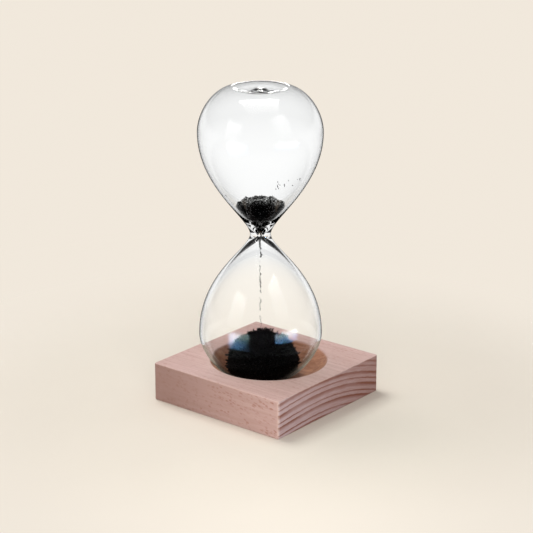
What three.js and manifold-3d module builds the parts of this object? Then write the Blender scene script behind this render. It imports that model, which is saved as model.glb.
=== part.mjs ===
// Magnetic hourglass: a blown glass timer filled with iron filings. It stands loose in the dish of
// a square beech block, and a disc magnet under the dish draws the fallen filings up into spikes.
// Millimetres, +Z up. The origin is the middle of the block's underside, and X runs along the
// wood's grain.

import * as THREE from "three";
import { mergeVertices } from "three/addons/utils/BufferGeometryUtils.js";
import Module from "manifold-3d";

// Wooden block and its dish
const baseSide = 80;
const baseHeight = 19.5;
const baseCornerRadius = 1.2;
const baseEdgeRound = 0.5;
const dishDepth = 8.3;
const dishMargin = 5.15; // room between the glass, when centred in the dish, and the dish's wall
const dishRimChamfer = 0.5;
const dishShiftX = 0.4; // the dish is turned a little off the block's centre
const dishShiftY = 1.2;

// Magnet let into the block from below, under the dish's middle, and the felt disc over its pocket
const magnetRadius = 15;
const magnetChamfer = 0.4;
const magnetSkin = 2.3; // wood left between the dish's floor and the pocket
const coverRadius = 18;
const coverThickness = 2;
const coverRecess = 0.3; // keeps the felt just off the table

// Glass, measured from the middle of its neck; both bulbs are alike but for their outlines' curves
const glassHalfHeight = 73.8;
const bellyRadius = 30.65;
const bellyHeight = 51.5;
const waistRadius = 5.1;
const orificeRadius = 1.1;
const footRadius = 13.5; // ring that the glass stands on
const puntDepth = 2.2; // dimple inside that ring
const wallThickness = 1.2;
const collarHalfLength = 4;
const fillHoleRadius = 2;
const pipRadius = 4.5;
const pipDrop = 0.5; // keeps the bead below the ring, so that the glass stands on either end

// How far the bulb's outline keeps its direction at each end of a curve, as a share of that curve
const waistPull = 0.155;
const orificePull = 0.097;
const bellyPull = 0.5825;
const shoulderPull = 0.388;
const footPull = 0.408;
const upperBellyPull = 0.515; // the upper bulb is blown slimmer over its neck and fuller at its end
const upperShoulderPull = 0.48;
const upperFootPull = 0.48;
const puntRimPull = 0.35;
const puntFloorPull = 0.75;

// The glass stands off the block's centre, towards -X and -Y
const glassShiftX = -2.3;
const glassShiftY = -1.9;

// Filings
const upperFillHeight = 14.8; // edge of the upper filings, above the neck's middle
const upperMoundRise = 2.9;
const upperTipHeight = 3;
const streamEndRadius = 0.5;
const heapRadius = 17.4;
const heapRise = 15.5; // from the heap's widest level to its top
const heapLevel = 2.1; // widest level, above the glass's inside floor
const heapShiftShare = 0.7; // the magnet draws the heap back by the rest, towards the dish's centre
const spikeCount = 130;
const spikeLength = 1.3;
const spikeRadius = 1.2;
const spikeRoot = 1; // length of a spike sunk in the heap
const spikeSpread = THREE.MathUtils.degToRad(98); // from the heap's top down its side

// Clearances
const fitGap = 0.3; // pocket fits, and where one piece rests on another
const fillGap = 0.4; // between filings and glass

// Fineness of round surfaces and of the cuts
const roundSides = 40;
const spikeSides = 5;
const streamSides = 8;
const flareSteps = 8;
const shoulderSteps = 7;
const puntSteps = 4;
const collarSteps = 3;
const moundSteps = 5;
const heapSides = 36;
const heapRings = 18;
const mergeDistance = 1e-4;
const cutOverrun = 1; // how far a cutter runs past the face that it opens

const wasm = await Module();
wasm.setup();

// Sizes that follow from those above
const dishFloor = baseHeight - dishDepth;
const pocketRoof = dishFloor - magnetSkin;
const coverTop = coverRecess + coverThickness;
const pocketShoulder = coverTop + fitGap;
const magnetBottom = pocketShoulder;
const magnetTop = pocketRoof - fitGap;
const neckHeight = dishFloor + fitGap + glassHalfHeight;
const streamTopRadius = orificeRadius - fillGap;

// Welds a geometry's shared corners and drops triangles that have no area.
function welded(geometry) {
  geometry.deleteAttribute("normal");
  geometry.deleteAttribute("uv");
  const merged = mergeVertices(geometry, mergeDistance);
  const corners = merged.index.array;
  const kept = [];
  for (let first = 0; first < corners.length; first += 3) {
    const [a, b, c] = corners.slice(first, first + 3);
    if (a !== b && b !== c && c !== a) {
      kept.push(a, b, c);
    }
  }
  merged.setIndex(kept);
  return merged;
}

// A closed geometry as a solid that can be joined and cut.
function toSolid(geometry) {
  const closed = welded(geometry);
  const mesh = new wasm.Mesh({
    numProp: 3,
    vertProperties: Float32Array.from(closed.attributes.position.array),
    triVerts: Uint32Array.from(closed.index.array),
  });
  return new wasm.Manifold(mesh);
}

function toGeometry(solid) {
  const mesh = solid.getMesh();
  const geometry = new THREE.BufferGeometry();
  geometry.setAttribute("position", new THREE.BufferAttribute(mesh.vertProperties, 3));
  geometry.setIndex(new THREE.BufferAttribute(mesh.triVerts, 1));
  return geometry;
}

// Turns a profile of (radius, height) points about Z. It runs up the outside and back down inside.
function turned(profile, sides = roundSides) {
  const geometry = new THREE.LatheGeometry(profile, sides);
  geometry.rotateX(Math.PI / 2);
  return welded(geometry);
}

function disc(radius, bottom, top, chamfer) {
  return turned([
    new THREE.Vector2(0, bottom),
    new THREE.Vector2(radius - chamfer, bottom),
    new THREE.Vector2(radius, bottom + chamfer),
    new THREE.Vector2(radius, top - chamfer),
    new THREE.Vector2(radius - chamfer, top),
    new THREE.Vector2(0, top),
  ]);
}

function piece(name, geometry, finish) {
  geometry.computeVertexNormals();
  const mesh = new THREE.Mesh(geometry, new THREE.MeshStandardMaterial(finish));
  mesh.name = name;
  return mesh;
}

// The parameter at which a rising curve reaches a height, found by halving.
function parameterAtHeight(curve, height) {
  let low = 0;
  let high = 1;
  for (let halving = 0; halving < 40; halving += 1) {
    const middle = (low + high) / 2;
    if (curve.getPoint(middle).y < height) {
      low = middle;
    } else {
      high = middle;
    }
  }
  return low;
}

// The parameter at which the dimple's curve, which runs inwards, reaches a radius.
function parameterAtRadius(curve, radius) {
  let low = 0;
  let high = 1;
  for (let halving = 0; halving < 40; halving += 1) {
    const middle = (low + high) / 2;
    if (curve.getPoint(middle).x > radius) {
      low = middle;
    } else {
      high = middle;
    }
  }
  return low;
}

function stretch(curve, from, to, steps) {
  const points = [];
  for (let step = 0; step <= steps; step += 1) {
    points.push(curve.getPoint(from + ((to - from) * step) / steps));
  }
  return points;
}

function joined(...runs) {
  const points = [];
  for (const run of runs) {
    const fresh = run.filter((point) => {
      const last = points.at(-1);
      return !last || last.distanceTo(point) > mergeDistance;
    });
    points.push(...fresh);
  }
  return points;
}

function mirrored(points) {
  return points.map((point) => new THREE.Vector2(point.x, -point.y)).reverse();
}

// One side of the glass from neck to axis, the given distance inside the outer surface.
function bulbSurface(neckRadius, neckPull, inset, upper = false) {
  const belly = bellyRadius - inset;
  const foot = glassHalfHeight - inset;
  const floor = foot - puntDepth;
  const below = (upper ? upperBellyPull : bellyPull) * bellyHeight;
  const above = (upper ? upperShoulderPull : shoulderPull) * (foot - bellyHeight);
  const level = (upper ? upperFootPull : footPull) * (belly - footRadius);
  return {
    flare: new THREE.CubicBezierCurve(
      new THREE.Vector2(neckRadius, 0),
      new THREE.Vector2(neckRadius, neckPull * bellyHeight),
      new THREE.Vector2(belly, bellyHeight - below),
      new THREE.Vector2(belly, bellyHeight),
    ),
    shoulder: new THREE.CubicBezierCurve(
      new THREE.Vector2(belly, bellyHeight),
      new THREE.Vector2(belly, bellyHeight + above),
      new THREE.Vector2(footRadius + level, foot),
      new THREE.Vector2(footRadius, foot),
    ),
    punt: new THREE.CubicBezierCurve(
      new THREE.Vector2(footRadius, foot),
      new THREE.Vector2((1 - puntRimPull) * footRadius, foot),
      new THREE.Vector2(puntFloorPull * footRadius, floor),
      new THREE.Vector2(0, floor),
    ),
  };
}

const outside = bulbSurface(waistRadius, waistPull, 0);
const inside = bulbSurface(orificeRadius, orificePull, wallThickness);
const upperOutside = bulbSurface(waistRadius, waistPull, 0, true);
const upperInside = bulbSurface(orificeRadius, orificePull, wallThickness, true);
const fillLimit = bulbSurface(orificeRadius - fillGap, orificePull, wallThickness + fillGap);
const upperFillLimit = bulbSurface(
  orificeRadius - fillGap,
  orificePull,
  wallThickness + fillGap,
  true,
);

// A surface's outline from a height above the neck round to where its dimple meets a radius.
function outlineFrom(surface, startHeight, endRadius) {
  return joined(
    stretch(surface.flare, parameterAtHeight(surface.flare, startHeight), 1, flareSteps),
    stretch(surface.shoulder, 0, 1, shoulderSteps),
    stretch(surface.punt, 0, parameterAtRadius(surface.punt, endRadius), puntSteps),
  );
}

// Beech block: eased edges, the dish in its top and the stepped pocket in its underside.
function woodenBase() {
  const half = baseSide / 2;
  const inner = half - baseCornerRadius;
  const outline = new THREE.Shape();
  outline.absarc(inner, inner, baseCornerRadius, 0, Math.PI / 2);
  outline.absarc(-inner, inner, baseCornerRadius, Math.PI / 2, Math.PI);
  outline.absarc(-inner, -inner, baseCornerRadius, Math.PI, 1.5 * Math.PI);
  outline.absarc(inner, -inner, baseCornerRadius, 1.5 * Math.PI, 2 * Math.PI);
  const block = new THREE.ExtrudeGeometry(outline, {
    depth: baseHeight - 2 * baseEdgeRound,
    bevelThickness: baseEdgeRound,
    bevelSize: baseEdgeRound,
    bevelOffset: -baseEdgeRound,
    bevelSegments: 2,
    curveSegments: 3,
  });
  block.translate(0, 0, baseEdgeRound);

  const pocket = disc(magnetRadius + fitGap, -cutOverrun, pocketRoof, 0);
  const coverSeat = disc(coverRadius + fitGap, -cutOverrun, pocketShoulder, 0);
  let solid = toSolid(block);
  for (const cutter of [dishCutter(), pocket, coverSeat]) {
    cutter.translate(dishShiftX, dishShiftY, 0);
    solid = solid.subtract(toSolid(cutter));
  }
  return toGeometry(solid);
}

// The dish follows the glass's foot and shoulder, set off by the dish margin.
function dishCutter() {
  const rimDrop = neckHeight - fitGap - (baseHeight - dishRimChamfer);
  const rimAt = parameterAtHeight(outside.shoulder, rimDrop);
  const wall = stretch(outside.shoulder, 1, rimAt, shoulderSteps);
  const profile = [new THREE.Vector2(0, dishFloor)];
  for (const point of wall) {
    const height = neckHeight - fitGap - point.y;
    profile.push(new THREE.Vector2(point.x + dishMargin, height));
  }
  const rimRadius = profile.at(-1).x + dishRimChamfer;
  profile.push(
    new THREE.Vector2(rimRadius, baseHeight),
    new THREE.Vector2(rimRadius, baseHeight + cutOverrun),
    new THREE.Vector2(0, baseHeight + cutOverrun),
  );
  return turned(profile);
}

// The upper bulb has the filling hole in its dimple, and both bulbs end in a flat ring at the collar.
function upperBulb() {
  const outer = outlineFrom(upperOutside, collarHalfLength, fillHoleRadius);
  const inner = outlineFrom(upperInside, collarHalfLength, fillHoleRadius).reverse();
  return turned([...outer, ...inner, outer[0]]);
}

function lowerBulb() {
  const outer = mirrored(outlineFrom(outside, collarHalfLength, 0));
  const inner = mirrored(outlineFrom(inside, collarHalfLength, 0)).reverse();
  return turned([...outer, ...inner]);
}

function neckCollar() {
  const half = (surface) => {
    const end = parameterAtHeight(surface.flare, collarHalfLength);
    return stretch(surface.flare, 0, end, collarSteps);
  };
  const up = joined(mirrored(half(outside)), half(upperOutside));
  const down = joined(mirrored(half(inside)), half(upperInside)).reverse();
  return turned([...up, ...down, up[0]]);
}

// A stem that fills the hole and a low bead that lies in the dimple.
function sealPip() {
  const stemRadius = fillHoleRadius - fitGap;
  const edgeAt = parameterAtRadius(outside.punt, pipRadius);
  const stemAt = parameterAtRadius(outside.punt, stemRadius);
  const underside = stretch(outside.punt, stemAt, edgeAt, puntSteps);
  const seat = underside.map((point) => new THREE.Vector2(point.x, point.y + fitGap));
  const edge = seat.at(-1);
  const top = glassHalfHeight - pipDrop;
  const dome = new THREE.CubicBezierCurve(
    edge,
    new THREE.Vector2(edge.x, top),
    new THREE.Vector2(edge.x / 2, top),
    new THREE.Vector2(0, top),
  );
  const stemBottom = glassHalfHeight - wallThickness - puntDepth;
  return turned([
    new THREE.Vector2(0, stemBottom),
    new THREE.Vector2(stemRadius, stemBottom),
    ...seat,
    ...stretch(dome, 0, 1, puntSteps).slice(1),
  ]);
}

// Filings still to fall: a plug in the upper flare under a low mound.
function upperFilings() {
  const from = parameterAtHeight(upperFillLimit.flare, upperTipHeight);
  const to = parameterAtHeight(upperFillLimit.flare, upperFillHeight);
  const side = stretch(upperFillLimit.flare, from, to, moundSteps);
  const edge = side.at(-1);
  const top = upperFillHeight + upperMoundRise;
  const mound = new THREE.CubicBezierCurve(
    edge,
    new THREE.Vector2(edge.x, upperFillHeight + upperMoundRise / 2),
    new THREE.Vector2(edge.x / 2, top),
    new THREE.Vector2(0, top),
  );
  return turned([
    new THREE.Vector2(0, upperTipHeight),
    ...joined(side, stretch(mound, 0, 1, moundSteps)),
  ]);
}

// Height of the heap's widest level and of its top, from the neck's middle.
const heapMiddle = -(glassHalfHeight - puntDepth - wallThickness) + heapLevel;
const heapTop = heapMiddle + heapRise;

function filingsStream() {
  const top = upperTipHeight - fitGap;
  const bottom = heapTop + spikeLength + fitGap;
  return turned(
    [
      new THREE.Vector2(0, bottom),
      new THREE.Vector2(streamEndRadius, bottom),
      new THREE.Vector2(streamTopRadius, top),
      new THREE.Vector2(0, top),
    ],
    streamSides,
  );
}

// One spike of filings, standing square to the heap's surface.
function spike(index) {
  const goldenAngle = Math.PI * (3 - Math.sqrt(5));
  const share = (index + 0.5) / spikeCount;
  const polar = Math.acos(1 - share * (1 - Math.cos(spikeSpread)));
  const around = index * goldenAngle;
  const foot = new THREE.Vector3(
    heapRadius * Math.sin(polar) * Math.cos(around),
    heapRadius * Math.sin(polar) * Math.sin(around),
    heapRise * Math.cos(polar),
  );
  const squareOut = new THREE.Vector3(
    foot.x / heapRadius ** 2,
    foot.y / heapRadius ** 2,
    foot.z / heapRise ** 2,
  ).normalize();
  const length = spikeLength + spikeRoot;
  const cone = new THREE.ConeGeometry(spikeRadius, length, spikeSides);
  const turn = new THREE.Quaternion().setFromUnitVectors(new THREE.Vector3(0, 1, 0), squareOut);
  cone.applyQuaternion(turn);
  const centre = foot.addScaledVector(squareOut, length / 2 - spikeRoot);
  cone.translate(centre.x, centre.y, centre.z);
  return cone;
}

// The fallen heap: half an egg of filings with spikes, lying in the lower bulb.
function lowerFilings() {
  const egg = new THREE.SphereGeometry(1, heapSides, heapRings);
  egg.rotateX(Math.PI / 2);
  egg.scale(heapRadius, heapRadius, heapRise);
  let heap = toSolid(egg);
  for (let index = 0; index < spikeCount; index += 1) {
    heap = heap.add(toSolid(spike(index)));
  }
  const backToMagnet = 1 - heapShiftShare;
  const placed = heap.translate([
    (dishShiftX - glassShiftX) * backToMagnet,
    (dishShiftY - glassShiftY) * backToMagnet,
    heapMiddle,
  ]);
  const room = mirrored(outlineFrom(fillLimit, upperTipHeight, 0));
  const mouth = room.at(-1);
  const hollow = turned([...room, new THREE.Vector2(0, mouth.y)]);
  return toGeometry(placed.intersect(toSolid(hollow)));
}

const beech = { color: 0xbb9f90, roughness: 0.62, metalness: 0 };
const plated = { color: 0xa9aaac, roughness: 0.3, metalness: 1 };
const felt = { color: 0x4b4743, roughness: 0.95, metalness: 0 };
const clearGlass = {
  color: 0xf3f6f4,
  roughness: 0.03,
  metalness: 0,
  transparent: true,
  opacity: 0.3,
};
const ironFilings = { color: 0x1c1c1e, roughness: 0.55, metalness: 0.6 };

const underDish = new THREE.Group();
underDish.position.set(dishShiftX, dishShiftY, 0);
underDish.add(
  piece("base_magnet", disc(magnetRadius, magnetBottom, magnetTop, magnetChamfer), plated),
  piece("magnet_cover", disc(coverRadius, coverRecess, coverTop, 0), felt),
);

const stand = new THREE.Group();
stand.add(piece("wooden_base", woodenBase(), beech), underDish);

// The glass and its filings are placed by the middle of the neck.
const glass = new THREE.Group();
glass.position.set(glassShiftX, glassShiftY, neckHeight);
glass.add(
  piece("upper_bulb", upperBulb(), clearGlass),
  piece("lower_bulb", lowerBulb(), clearGlass),
  piece("neck_collar", neckCollar(), clearGlass),
  piece("seal_pip", sealPip(), clearGlass),
);

const filings = new THREE.Group();
filings.position.copy(glass.position);
filings.add(
  piece("upper_filings", upperFilings(), ironFilings),
  piece("filings_stream", filingsStream(), ironFilings),
  piece("lower_filings", lowerFilings(), ironFilings),
);

const hourglass = new THREE.Group();
hourglass.add(stand, glass, filings);

export default hourglass;
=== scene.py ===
"""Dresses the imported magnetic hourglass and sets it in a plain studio.

The beech block, the magnet under its felt, the blown glass and the iron filings are made here in
metres, round the solids that the frame holds, and each piece rides on the body it belongs to.
"""

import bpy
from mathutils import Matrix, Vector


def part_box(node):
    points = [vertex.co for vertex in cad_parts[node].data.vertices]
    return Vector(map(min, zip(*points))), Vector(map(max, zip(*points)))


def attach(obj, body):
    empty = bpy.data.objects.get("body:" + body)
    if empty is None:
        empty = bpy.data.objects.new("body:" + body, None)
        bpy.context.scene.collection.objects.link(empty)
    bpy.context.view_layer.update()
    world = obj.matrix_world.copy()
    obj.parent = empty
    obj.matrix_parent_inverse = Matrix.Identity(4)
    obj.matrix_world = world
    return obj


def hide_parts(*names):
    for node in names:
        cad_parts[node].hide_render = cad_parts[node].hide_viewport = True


bl_info = {
    "name": "Magnetic Hourglass",
    "version": (1, 0, 0),
    "blender": (4, 5, 0),
    "location": "3D View > Sidebar > Hourglass",
    "description": "Builds the looks of a magnetic hourglass round its packed solids",
    "category": "Object",
}

import math

import bmesh
import bpy
from bpy.props import FloatProperty, FloatVectorProperty, IntProperty, PointerProperty
from mathutils import Vector, noise

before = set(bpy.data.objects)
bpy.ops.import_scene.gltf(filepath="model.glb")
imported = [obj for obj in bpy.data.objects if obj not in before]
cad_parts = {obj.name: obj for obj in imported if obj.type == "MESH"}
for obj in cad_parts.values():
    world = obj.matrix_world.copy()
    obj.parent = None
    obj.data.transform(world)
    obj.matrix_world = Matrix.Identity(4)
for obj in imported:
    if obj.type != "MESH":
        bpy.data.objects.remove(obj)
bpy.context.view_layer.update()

MM = 0.001
TINY = 1e-9  # metres
FIT_GAP = 0.3 * MM  # between pieces that rest on or in each other

BLOCK_LOW, BLOCK_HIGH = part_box("wooden_base")
FELT_LOW, FELT_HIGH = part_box("magnet_cover")
MAGNET_LOW, MAGNET_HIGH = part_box("base_magnet")
UPPER_LOW, UPPER_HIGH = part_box("upper_bulb")
COLLAR_LOW, COLLAR_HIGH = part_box("neck_collar")
WAITING_LOW, WAITING_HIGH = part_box("upper_filings")
STREAM_LOW, STREAM_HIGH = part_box("filings_stream")
HEAP_LOW, HEAP_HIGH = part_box("lower_filings")
GLASS_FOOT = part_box("lower_bulb")[0]

NECK = (COLLAR_LOW + COLLAR_HIGH) / 2
DISH = (FELT_LOW + FELT_HIGH) / 2
HEAP = (HEAP_LOW + HEAP_HIGH) / 2
BLOCK_HALF = (BLOCK_HIGH.x - BLOCK_LOW.x) / 2
BLOCK_TOP = BLOCK_HIGH.z
DISH_FLOOR = GLASS_FOOT.z - FIT_GAP
FELT_RADIUS = (FELT_HIGH.x - FELT_LOW.x) / 2
MAGNET_RADIUS = (MAGNET_HIGH.x - MAGNET_LOW.x) / 2

BLACK = (0.0, 0.0, 0.0)
GREY = (0.3, 0.3, 0.3)
WHITE = (1.0, 1.0, 1.0)
DUSK = (0.06, 0.13, 0.25)
SKY = (0.72, 0.92, 1.0)
LAMPLIGHT = (1.0, 0.99, 0.97)


# Settings


def number(name, description, default, **choices):
    return FloatProperty(name=name, description=description, default=default, **choices)


def length(name, description, default):
    return number(name, description, default, unit="LENGTH", precision=5)


def share(name, description, default):
    return number(name, description, default, subtype="FACTOR")


def angle(name, description, degrees):
    return number(name, description, math.radians(degrees), subtype="ANGLE")


def count(name, description, default, least=0):
    return IntProperty(name=name, description=description, default=default, min=least)


def colour(name, description, default):
    return FloatVectorProperty(
        name=name, description=description, default=default, subtype="COLOR", size=3, min=0, max=1
    )


class BeechSettings(bpy.types.PropertyGroup):
    """Sizes and colours of the square block."""

    corner_radius: length("Corner radius", "Rounding of the upright edges", 1.2 * MM)
    edge_round: length("Edge round", "Easing of the level edges", 0.5 * MM)
    dish_margin: length("Dish margin", "Room between a centred glass and the dish's wall", 5.15 * MM)
    rim_round: length("Rim round", "Easing of the dish's rim", 0.7 * MM)
    ring_spacing: length("Ring spacing", "Width of one year's growth", 3.1 * MM)
    pith_side: length("Pith side", "Place of the tree's middle across the grain", -16 * MM)
    pith_depth: length("Pith depth", "Place of the tree's middle below the table", -165 * MM)
    pale: colour("Pale wood", "Light streaks on the long grain", (0.62, 0.425, 0.4))
    warm: colour("Warm wood", "Darker streaks on the long grain", (0.47, 0.29, 0.25))
    fleck: colour("Flecks", "Short ray flecks along the grain", (0.34, 0.12, 0.08))
    # Painted shade: the two long faces are painted darker towards the -X end, as if less light reached that
    # end.
    falloff_shade: colour("Falloff shade", "Long faces painted darker towards one end", (0.31, 0.175, 0.145))
    end_pale: colour("End grain", "Early wood on the end grain", (0.53, 0.42, 0.45))
    end_dark: colour("End streaks", "Fine streaks along the rings", (0.33, 0.165, 0.135))
    end_ring: colour("Rings", "Late wood on the end grain", (0.2, 0.055, 0.027))
    # Painted shade: the dish colours are darker and redder than the block's top, and stand in for the shade
    # and warm bounced light inside the dish.
    dish: colour("Dish", "Turned dish", (0.44, 0.19, 0.105))
    dish_streak: colour("Dish streaks", "Dark streaks in the turned dish", (0.23, 0.08, 0.04))
    # Painted highlight: the eased edges are painted paler, as if they caught the light.
    painted_highlight: colour("Edge highlight", "Eased edges painted paler as a highlight", (0.75, 0.58, 0.5))
    mirrored: colour("Mirrored wood", "Far side of the block as the glass mirrors it", (0.46, 0.37, 0.3))


class GlassSettings(bpy.types.PropertyGroup):
    """Sizes of the blown glass, measured from the middle of its neck."""

    half_height: length("Half height", "Neck to either end", UPPER_HIGH.z - NECK.z)
    belly_radius: length("Belly radius", "Widest radius", (UPPER_HIGH.x - UPPER_LOW.x) / 2)
    belly_height: length("Belly height", "Neck to the widest level", 51.5 * MM)
    waist_radius: length("Waist radius", "Outside of the neck", 5.1 * MM)
    orifice_radius: length("Orifice radius", "Hole that the filings run through", 1.1 * MM)
    foot_radius: length("Foot radius", "Ring that the glass stands on", 13.5 * MM)
    punt_depth: length("Punt depth", "Dimple inside that ring", 2.2 * MM)
    ring_fall: length("Ring fall", "How steeply the glass falls away on both sides of that ring", 1.0 * MM)
    wall: length("Wall", "Thickness of the glass", 1.2 * MM)
    top_wall: length("Top wall", "Thickness of the glass at its upper end", 0.4 * MM)
    pip_radius: length("Bead radius", "Bead that seals the top", 4.5 * MM)
    pip_drop: length("Bead drop", "Top of the bead below the ring", 0.5 * MM)
    pip_lumps: length("Bead lumps", "Unevenness of the melted glass round the bead", 0.9 * MM)
    waist_pull: share("Waist pull", "How long the outside keeps upright at the neck", 0.155)
    orifice_pull: share("Orifice pull", "How long the inside keeps upright at the neck", 0.097)
    belly_pull: share("Belly pull", "How long the lower flare keeps upright at the belly", 0.5825)
    upper_belly_pull: share("Upper belly pull", "How long the upper flare keeps upright there", 0.515)
    shoulder_pull: share("Shoulder pull", "How long the lower shoulder keeps upright", 0.388)
    foot_pull: share("Foot pull", "How long the lower shoulder keeps level at the foot", 0.408)
    upper_shoulder_pull: share("Upper shoulder pull", "How long the upper shoulder keeps upright", 0.42)
    upper_foot_pull: share("Upper foot pull", "How long the upper shoulder keeps level at the end", 0.58)
    punt_rim_pull: share("Punt rim pull", "How long the dimple keeps level at its rim", 0.35)
    punt_floor_pull: share("Punt floor pull", "How long the dimple keeps level at its floor", 0.75)
    edge_shade: share("Edge shade", "Light that is lost where the glass is seen edge on", 0.85)
    sides: count("Sides", "Facets round the glass", 144, least=24)


class FilingsSettings(bpy.types.PropertyGroup):
    """Sizes and numbers of the iron filings."""

    mound_gap: length("Mound gap", "Glass to the waiting filings", 0.12 * MM)
    mound_drop: length("Mound drop", "Edge of the waiting mound below its highest grain", 3.8 * MM)
    mound_cover: length("Mound cover", "Loose grains on the mound's top", 0.6 * MM)
    mound_bulge: length("Mound bulge", "How steeply the mound leaves the glass", 2.6 * MM)
    mound_lumps: length("Mound lumps", "Unevenness of the mound", 1.6 * MM)
    mound_grains: number("Mound grains", "Loose grains on a square metre of the mound", 2.6e6)
    shaded_side: angle("Shaded side", "Azimuth of the side of the mound whose grains don't shine", 39)
    stream_grains: count("Stream grains", "Grains along the stream, before it is broken up", 620)
    stream_solid: length("Unbroken stream", "Stream below the neck before it breaks up", 7.5 * MM)
    stream_spread: length("Stream spread", "Grains to either side of the stream's middle", 0.38 * MM)
    stream_sway: length("Stream sway", "Wander of the stream's middle", 1.6 * MM)
    stray_gap: length("Stray gap", "Glass to the middle of a grain that clings to it", 0.25 * MM)
    stray_grains: number("Stray grains", "Clinging grains on a square metre of the glass", 2.4e5)
    heap_gap: length("Heap gap", "Glass to the fallen filings", 0.2 * MM)
    heap_radius: length("Heap radius", "Heap without its spikes", 17.2 * MM)
    heap_rise: length("Heap rise", "Heap's widest level to its top, without spikes", 15.8 * MM)
    heap_cover: length("Heap cover", "Spikes over the heap's top", 1.0 * MM)
    heap_lumps: length("Heap lumps", "Unevenness of the heap", 0.5 * MM)
    spike_length: length("Spike length", "Spikes over the magnet", 2.9 * MM)
    spike_radius: length("Spike radius", "Foot of a spike", 0.7 * MM)
    spike_spacing: length("Spike spacing", "Least distance between spikes", 1.3 * MM)
    spike_lean: number("Spike lean", "How far a spike may lean either way", 0.3, subtype="ANGLE")
    spike_reach: length("Spike reach", "Lowest spikes below the heap's widest level", 4.0 * MM)
    grain: length("Grain", "Length of a loose grain", 0.75 * MM)
    seed: count("Seed", "Start of every random draw", 7)


class StudioSettings(bpy.types.PropertyGroup):
    """Camera, floor and even light."""

    azimuth: angle("Azimuth", "Camera round the object", 39.25)
    elevation: angle("Elevation", "Camera above the table", 17.64)
    distance: length("Distance", "Camera to the point it looks at", 0.88355)
    target_height: length("Target height", "Height of the point it looks at", 80 * MM)
    lens: number("Lens", "Focal length", 121.14, unit="CAMERA")
    shift: share("Shift", "Upward shift of the frame", -0.0421)
    floor_radius: length("Floor radius", "Where the floor has faded out", 0.3)
    backdrop: colour("Backdrop", "Cream paper", (0.88, 0.81, 0.715))
    ambient: share("Ambient", "Even light from all round", 0.5)


def settings(name):
    return getattr(bpy.context.scene, "hourglass_" + name)


# Outlines and rings


def bezier(start, pull, push, end, steps):
    """Points of a curve from start to end that leaves towards pull and arrives from push."""
    points = []
    corners = (start, pull, push, end)
    for step in range(steps + 1):
        t = step / steps
        weights = ((1 - t) ** 3, 3 * t * (1 - t) ** 2, 3 * t * t * (1 - t), t**3)
        points.append(tuple(sum(w * c[axis] for w, c in zip(weights, corners)) for axis in (0, 1)))
    return points


def quarter_turns(steps):
    return [math.pi / 2 * step / steps for step in range(steps + 1)]


def from_axis(point, axis):
    return math.hypot(point.x - axis.x, point.y - axis.y)


def around(axis, radius, turn, height):
    """A point at a radius and a turn about an upright axis."""
    return Vector((axis.x + radius * math.cos(turn), axis.y + radius * math.sin(turn), height))


def heading(azimuth, elevation):
    """The way to a viewer, who stands on the -Y side at azimuth 0 and on the +X side at 90 degrees."""
    level = math.cos(elevation)
    return Vector((level * math.sin(azimuth), -level * math.cos(azimuth), math.sin(elevation)))


def turned(profile, axis, sides):
    """Rings of points from (radius, height) pairs turned about an upright axis."""
    rings = []
    for radius, height in profile:
        if radius < TINY:
            rings.append([Vector((axis.x, axis.y, height))])
        else:
            turns = [math.tau * side / sides for side in range(sides)]
            rings.append([around(axis, radius, turn, height) for turn in turns])
    return rings


def between(first, second, part):
    return [a.lerp(b, part) for a, b in zip(first, second)]


def bulb_outline(glass, upper, inset, end_inset, neck_radius, neck_pull):
    """The upper or the lower bulb from the neck to the axis, as (radius, distance from the neck) pairs."""
    flare_steps, shoulder_steps, punt_steps = 34, 24, 16
    belly = glass.belly_radius - inset
    rise = glass.belly_height
    foot = glass.half_height - end_inset
    floor = foot - glass.punt_depth
    ring = glass.foot_radius
    belly_pull = glass.upper_belly_pull if upper else glass.belly_pull
    shoulder_pull = glass.upper_shoulder_pull if upper else glass.shoulder_pull
    foot_pull = glass.upper_foot_pull if upper else glass.foot_pull
    flare = bezier(
        (neck_radius, 0),
        (neck_radius, neck_pull * rise),
        (belly, (1 - belly_pull) * rise),
        (belly, rise),
        flare_steps,
    )
    shoulder = bezier(
        (belly, rise),
        (belly, rise + shoulder_pull * (foot - rise)),
        (ring + foot_pull * (belly - ring), foot - glass.ring_fall),
        (ring, foot),
        shoulder_steps,
    )
    punt = bezier(
        (ring, foot),
        ((1 - glass.punt_rim_pull) * ring, foot - glass.ring_fall),
        (glass.punt_floor_pull * ring, floor),
        (0, floor),
        punt_steps,
    )
    return flare + shoulder[1:] + punt[1:]


def outer_outline(glass, upper=False):
    return bulb_outline(glass, upper, 0, 0, glass.waist_radius, glass.waist_pull)


def inner_outline(glass, gap=0.0, upper=False):
    """The inside of a bulb, a gap clear of the glass. The upper end is thinner than the sides."""
    inset = glass.wall + gap
    end_inset = (glass.top_wall if upper else glass.wall) + gap
    return bulb_outline(glass, upper, inset, end_inset, glass.orifice_radius - gap, glass.orifice_pull)


def read_off(pairs, value):
    """The second number where the first one reaches a value, in a run of number pairs."""
    for (a0, b0), (a1, b1) in zip(pairs, pairs[1:]):
        if a0 <= value <= a1:
            return b0 + (b1 - b0) * (value - a0) / max(a1 - a0, TINY)
    return pairs[-1][1]


def radius_at(outline, distance):
    """Radius of an outline's flare and shoulder at a distance from the neck."""
    return read_off([(away, radius) for radius, away in outline], distance)


def floor_at(outline, radius):
    """Distance from the neck to a bulb's end wall at a radius."""
    return read_off(list(reversed(outline)), radius)


# Meshes


def bridge(bm, first, second):
    """Joins two rings of corners, either of which may be a single pole."""
    count = max(len(first), len(second))
    faces = []
    for here in range(count):
        there = (here + 1) % count
        corners = [
            first[here % len(first)],
            first[there % len(first)],
            second[there % len(second)],
            second[here % len(second)],
        ]
        faces.append(bm.faces.new(list(dict.fromkeys(corners))))
    return faces


def plain_mesh(name, bm):
    mesh = bpy.data.meshes.new(name)
    bm.to_mesh(mesh)
    bm.free()
    return mesh


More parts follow.
